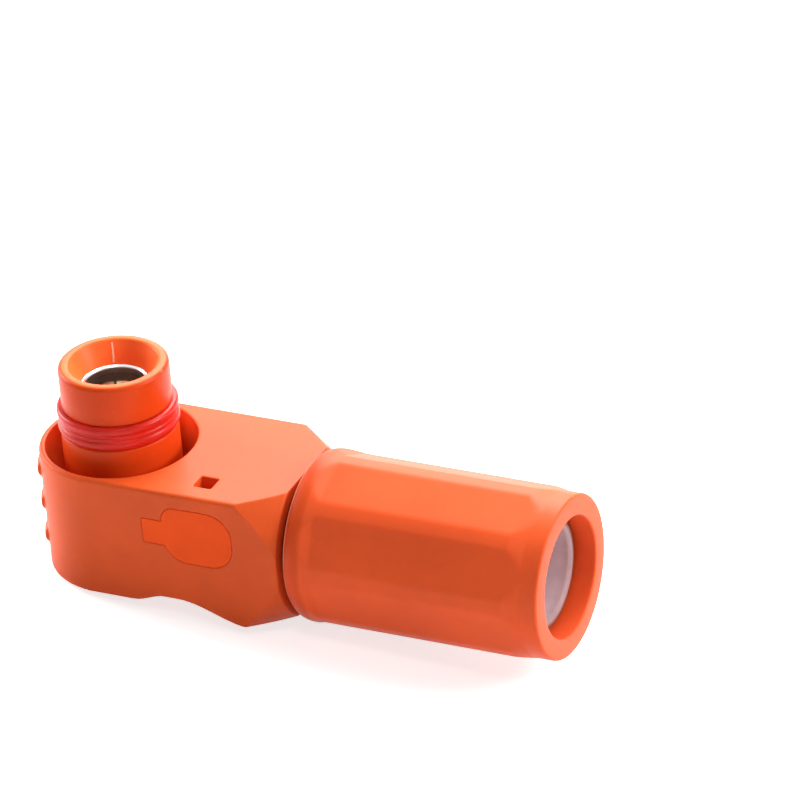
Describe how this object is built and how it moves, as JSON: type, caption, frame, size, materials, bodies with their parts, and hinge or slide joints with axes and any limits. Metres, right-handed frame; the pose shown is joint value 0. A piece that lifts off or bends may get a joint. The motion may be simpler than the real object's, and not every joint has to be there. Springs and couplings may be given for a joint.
{
  "type": "battery cable connector plug",
  "caption": "Right-angle power plug for battery cables: a round socket nose in a bowl, a release button on the side, and an arched body closed by an octagonal cable nut over a sealed gland.",
  "frame": {"origin": "on the nose axis, at the flat underside of the body's round end", "axes": "+Z along the nose, the way the mating socket leaves; +X along the cable, out of the nut; +Y towards the side with the release button"},
  "size_m": [0.1108, 0.0339, 0.0479],
  "materials": {
    "housing_plastic": "moulded orange plastic, satin",
    "cover_plastic": "brighter orange plastic, satin",
    "button_plastic": "orange plastic, satin",
    "latch_plastic": "orange glass-filled plastic",
    "spring_steel": "spring wire",
    "nose_plastic": "orange plastic, slightly glossy",
    "seal_rubber": "red silicone, wet sheen",
    "dark_rubber": "black rubber",
    "silver_plate": "silver-plated copper",
    "gold_alloy": "plated spring alloy",
    "screw_steel": "plated steel",
    "tin_plate": "tin-plated copper",
    "neck_rubber": "dark red rubber",
    "nut_plastic": "moulded orange plastic, satin",
    "washer_plastic": "slippery white plastic",
    "claw_plastic": "grey plastic",
    "clear_rubber": "translucent silicone"
  },
  "bodies": {
    "body": {"housing": "housing_plastic", "side_cover": "cover_plastic", "lock_spring": "spring_steel", "nose": "nose_plastic", "nose_seal": "seal_rubber", "nose_oring": "dark_rubber", "contact_socket": "silver_plate", "crown_spring": "gold_alloy", "terminal_screw": "screw_steel", "spring_washer": "screw_steel", "plain_washer": "screw_steel", "crimp_terminal": "tin_plate", "neck_oring": "neck_rubber", "gland_claws": "claw_plastic", "gland_seal": "clear_rubber"},
    "latch": {"release_button": "button_plastic", "lock_slide": "latch_plastic"},
    "gland_ring": {"slip_washer": "washer_plastic"},
    "nut": {"cable_nut": "nut_plastic"}
  },
  "joints": [
    {"name": "release_press", "type": "slide", "parent": "body", "child": "latch", "axis": [0, -1, 0], "range_m": [0, 0.0028], "stiffness_N_per_m": 600, "springref_m": -0.006, "deforming": ["lock_spring"]},
    {"name": "nut_travel", "type": "slide", "parent": "body", "child": "gland_ring", "axis": [1, 0, 0], "range_m": [0, 0.003]},
    {"name": "nut_turn", "type": "hinge", "parent": "gland_ring", "child": "nut", "pos_m": [0.0675, 0, 0.0117], "axis": [1, 0, 0], "range_deg": [0, 720]}
  ],
  "couplings": [
    {"joint": "nut_travel", "follows": "nut_turn", "m_per_rad": 0.00023873}
  ]
}
